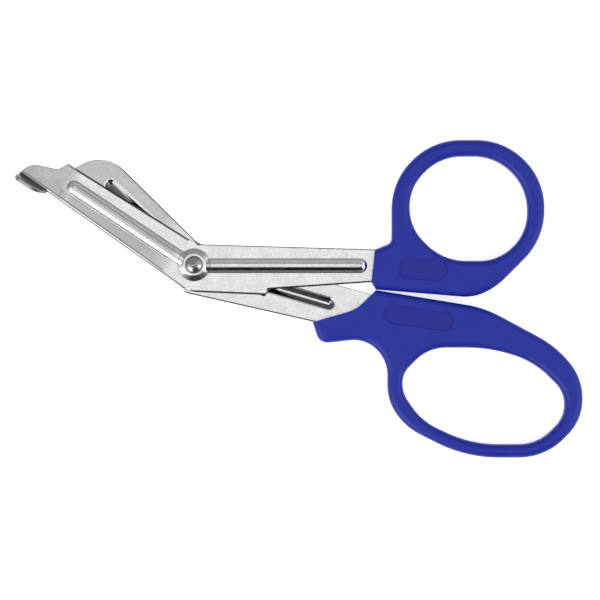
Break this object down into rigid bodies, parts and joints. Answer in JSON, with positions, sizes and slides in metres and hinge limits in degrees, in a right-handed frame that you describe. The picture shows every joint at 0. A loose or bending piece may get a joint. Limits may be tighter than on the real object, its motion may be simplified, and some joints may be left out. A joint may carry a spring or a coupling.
{
  "type": "bandage scissors",
  "caption": "Angled bandage scissors with a folded blunt foot, beaded sheet-steel blades on one rivet, and a round and a long plastic handle bow.",
  "frame": {"origin": "on the pivot axis, at the flat end of the rivet's tail, in the plane that the closed scissors lie on", "axes": "+X along the front shank from the pivot to the handles, +Y towards the thumb ring, +Z along the pivot axis, out of the rivet's head"},
  "size_m": [0.1901, 0.1063, 0.0096],
  "materials": {
    "blade_steel": "tumbled satin stainless steel, ground bright at the cutting edge",
    "rivet_steel": "polished stainless steel",
    "handle_plastic": "smooth satin moulded blue plastic"
  },
  "bodies": {
    "front_half": {"front_blade": "blade_steel", "thumb_handle": "handle_plastic", "pivot_rivet": "rivet_steel", "rivet_washer": "rivet_steel"},
    "rear_half": {"rear_blade": "blade_steel", "finger_handle": "handle_plastic"}
  },
  "joints": [
    {"name": "blade_pivot", "type": "hinge", "parent": "front_half", "child": "rear_half", "pos_m": [0, 0, 0.0045], "axis": [0, 0, -1], "range_deg": [0, 90]}
  ]
}
